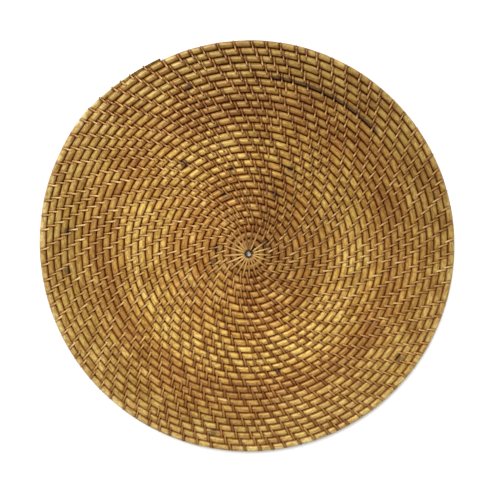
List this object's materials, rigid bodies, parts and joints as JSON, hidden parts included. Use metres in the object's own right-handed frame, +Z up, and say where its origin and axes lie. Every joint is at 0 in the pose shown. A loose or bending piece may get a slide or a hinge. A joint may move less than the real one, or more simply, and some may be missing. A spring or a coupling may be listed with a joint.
{
  "type": "coiled rattan charger plate",
  "caption": "Flat round charger plate of coiled rattan core, lashed turn to turn with split cane around an open centre eye; sits under a dinner plate.",
  "frame": {"origin": "centre of the plate's box, on its flat underside", "axes": "+Z up through the top face; +Y is the side nearest the picture's upper edge; +X to the picture's right"},
  "size_m": [0.3304, 0.3287, 0.0057],
  "materials": {
    "core": "natural rattan core, satin",
    "cane": "split rattan cane, lightly glossy"
  },
  "bodies": {
    "root": {"core_length_1": "core", "core_length_2": "core", "core_length_3": "core", "core_length_4": "core", "core_length_5": "core", "core_length_6": "core", "core_length_7": "core", "spoke_lashing": "cane", "lashing_turn_4": "cane", "lashing_turn_5": "cane", "lashing_turn_6": "cane", "lashing_turn_7": "cane", "lashing_turn_8": "cane", "lashing_turn_9": "cane", "lashing_turn_10": "cane", "lashing_turn_11": "cane", "lashing_turn_12": "cane", "lashing_turn_13": "cane", "lashing_turn_14": "cane", "lashing_turn_15": "cane", "lashing_turn_16": "cane", "lashing_turn_17": "cane", "lashing_turn_18": "cane", "lashing_turn_19": "cane", "lashing_turn_20": "cane", "lashing_turn_21": "cane", "lashing_turn_22": "cane", "lashing_turn_23": "cane", "lashing_turn_24": "cane", "lashing_turn_25": "cane", "lashing_turn_26": "cane", "lashing_turn_27": "cane", "lashing_turn_28": "cane", "lashing_turn_29": "cane"}
  },
  "joints": []
}
